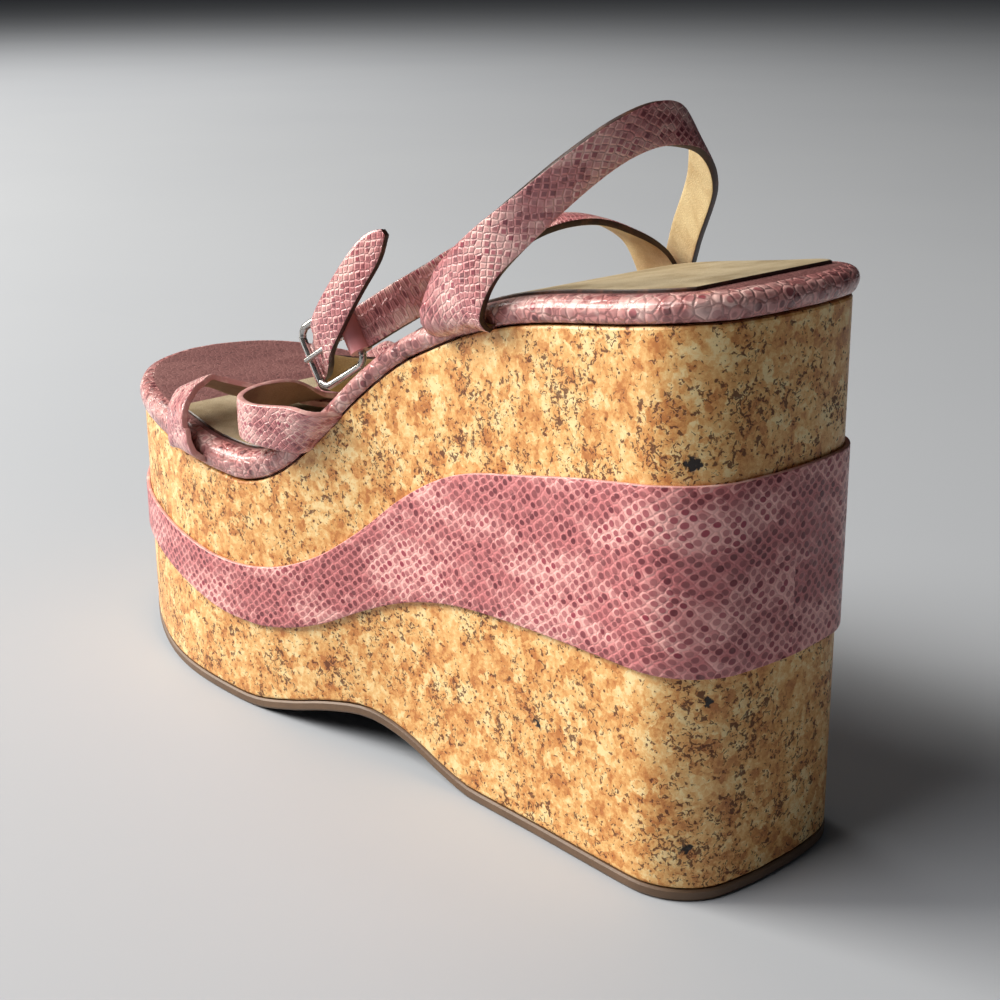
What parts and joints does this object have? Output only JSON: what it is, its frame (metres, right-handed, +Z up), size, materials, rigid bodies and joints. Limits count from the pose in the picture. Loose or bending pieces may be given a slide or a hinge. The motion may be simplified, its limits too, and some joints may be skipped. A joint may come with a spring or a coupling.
{
  "type": "platform wedge sandal",
  "caption": "High platform wedge sandal for the left foot, cork covered with a printed band, crossing toe straps and a buckled ankle strap.",
  "frame": {"origin": "on the floor under the middle of the heel's flat tread", "axes": "+Z up, toe toward -Y, outer (lateral) side of the left foot toward +X"},
  "size_m": [0.0937, 0.2535, 0.1742],
  "materials": {
    "sole_rubber": "matte moulded tread, tan edge",
    "cork": "agglomerated cork sheet, satin",
    "band_leather": "scale-printed, glossy",
    "footbed_leather": "scale-printed, glossy",
    "sock_leather": "plain lining, matte",
    "strap_leather": "scale-printed, glossy, lined",
    "buckle_metal": "nickel plated, polished"
  },
  "bodies": {
    "root": {"outsole": "sole_rubber", "platform": "cork", "wave_band": "band_leather", "footbed": "footbed_leather", "sock": "sock_leather", "toe_straps": "strap_leather", "ankle_strap": "strap_leather", "instep_strap": "strap_leather", "buckle_frame": "buckle_metal", "buckle_prong": "buckle_metal"}
  },
  "joints": []
}
